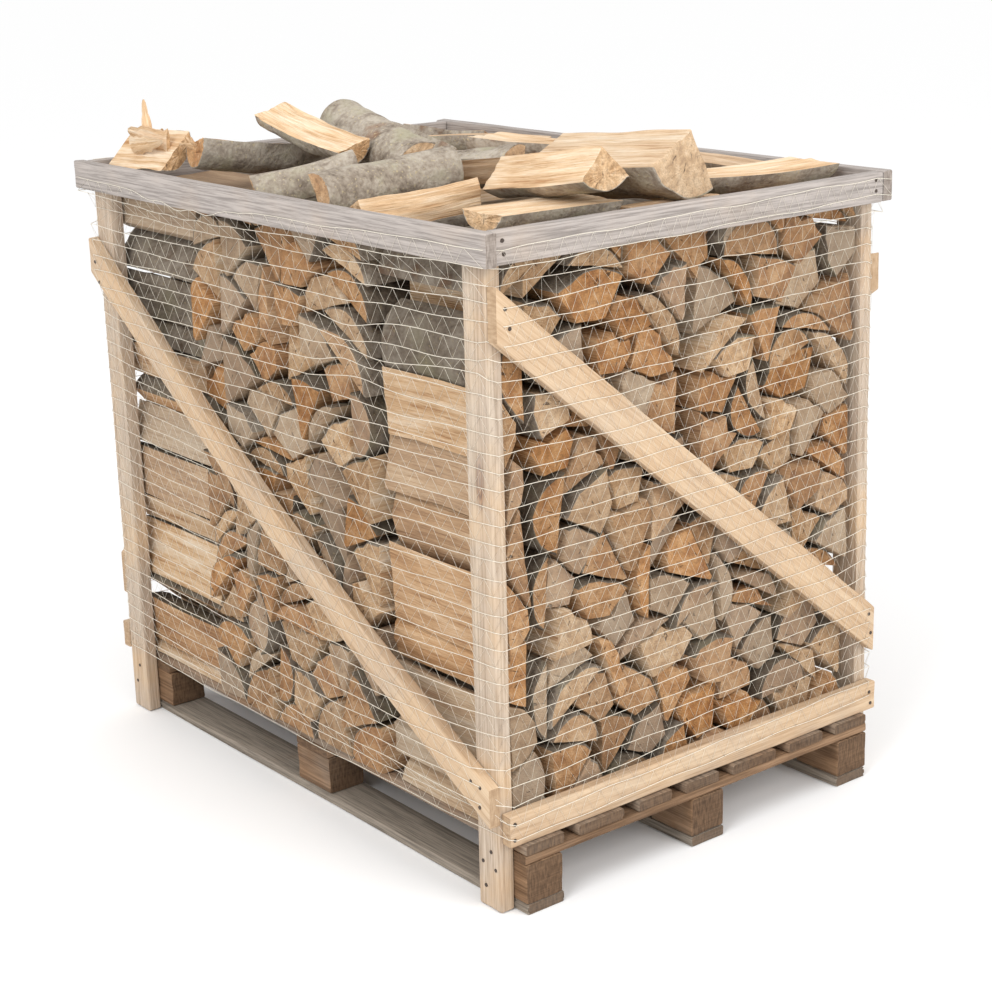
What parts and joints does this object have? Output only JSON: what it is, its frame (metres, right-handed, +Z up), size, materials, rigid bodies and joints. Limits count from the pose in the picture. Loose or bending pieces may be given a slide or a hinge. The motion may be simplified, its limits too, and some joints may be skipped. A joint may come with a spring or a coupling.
{
  "type": "netted pallet crate of split firewood",
  "caption": "Nailed timber crate on a block pallet, wrapped in knitted net, filled and heaped with split firewood logs.",
  "frame": {"origin": "on the floor, under the middle of the whole outline", "axes": "+X along the pallet's long side, +Y across it, +Z up"},
  "size_m": [1.243, 0.8992, 1.1971],
  "materials": {
    "pallet_wood": "rough sawn, weathered brown",
    "fresh_timber": "rough sawn, pale straw",
    "weathered_timber": "rough sawn, silver grey",
    "split_birch": "split and sawn, with bark",
    "nail_steel": "dull steel, slightly rusted",
    "net_cord": "thin translucent film thread"
  },
  "bodies": {
    "root": {"skid_1": "pallet_wood", "stringer_1": "pallet_wood", "block_1_1": "pallet_wood", "block_1_2": "pallet_wood", "block_1_3": "pallet_wood", "skid_2": "pallet_wood", "stringer_2": "pallet_wood", "block_2_1": "pallet_wood", "block_2_2": "pallet_wood", "block_2_3": "pallet_wood", "skid_3": "pallet_wood", "stringer_3": "pallet_wood", "block_3_1": "pallet_wood", "block_3_2": "pallet_wood", "block_3_3": "pallet_wood", "deck_board_1": "pallet_wood", "deck_board_2": "pallet_wood", "deck_board_3": "pallet_wood", "deck_board_4": "pallet_wood", "deck_board_5": "pallet_wood", "deck_board_6": "pallet_wood", "deck_board_7": "pallet_wood", "post_near_left": "fresh_timber", "post_near_right": "fresh_timber", "top_board_near": "weathered_timber", "brace_near": "fresh_timber", "post_far_left": "fresh_timber", "post_far_right": "fresh_timber", "top_board_far": "weathered_timber", "brace_far": "fresh_timber", "top_board_right": "weathered_timber", "rail_right": "fresh_timber", "brace_right": "fresh_timber", "top_board_left": "weathered_timber", "rail_left": "fresh_timber", "brace_left": "fresh_timber", "net": "net_cord", "stack_right": "split_birch", "stack_left": "split_birch", "stack_middle": "split_birch", "loose_log_01": "split_birch", "loose_log_02": "split_birch", "loose_log_03": "split_birch", "loose_log_04": "split_birch", "loose_log_05": "split_birch", "loose_log_06": "split_birch", "loose_log_07": "split_birch", "loose_log_08": "split_birch", "loose_log_09": "split_birch", "loose_log_10": "split_birch", "loose_log_11": "split_birch", "loose_log_12": "split_birch", "loose_log_13": "split_birch", "loose_log_14": "split_birch", "loose_log_15": "split_birch", "loose_log_16": "split_birch", "loose_log_17": "split_birch", "loose_log_18": "split_birch", "loose_log_19": "split_birch", "loose_log_20": "split_birch"}
  },
  "joints": []
}
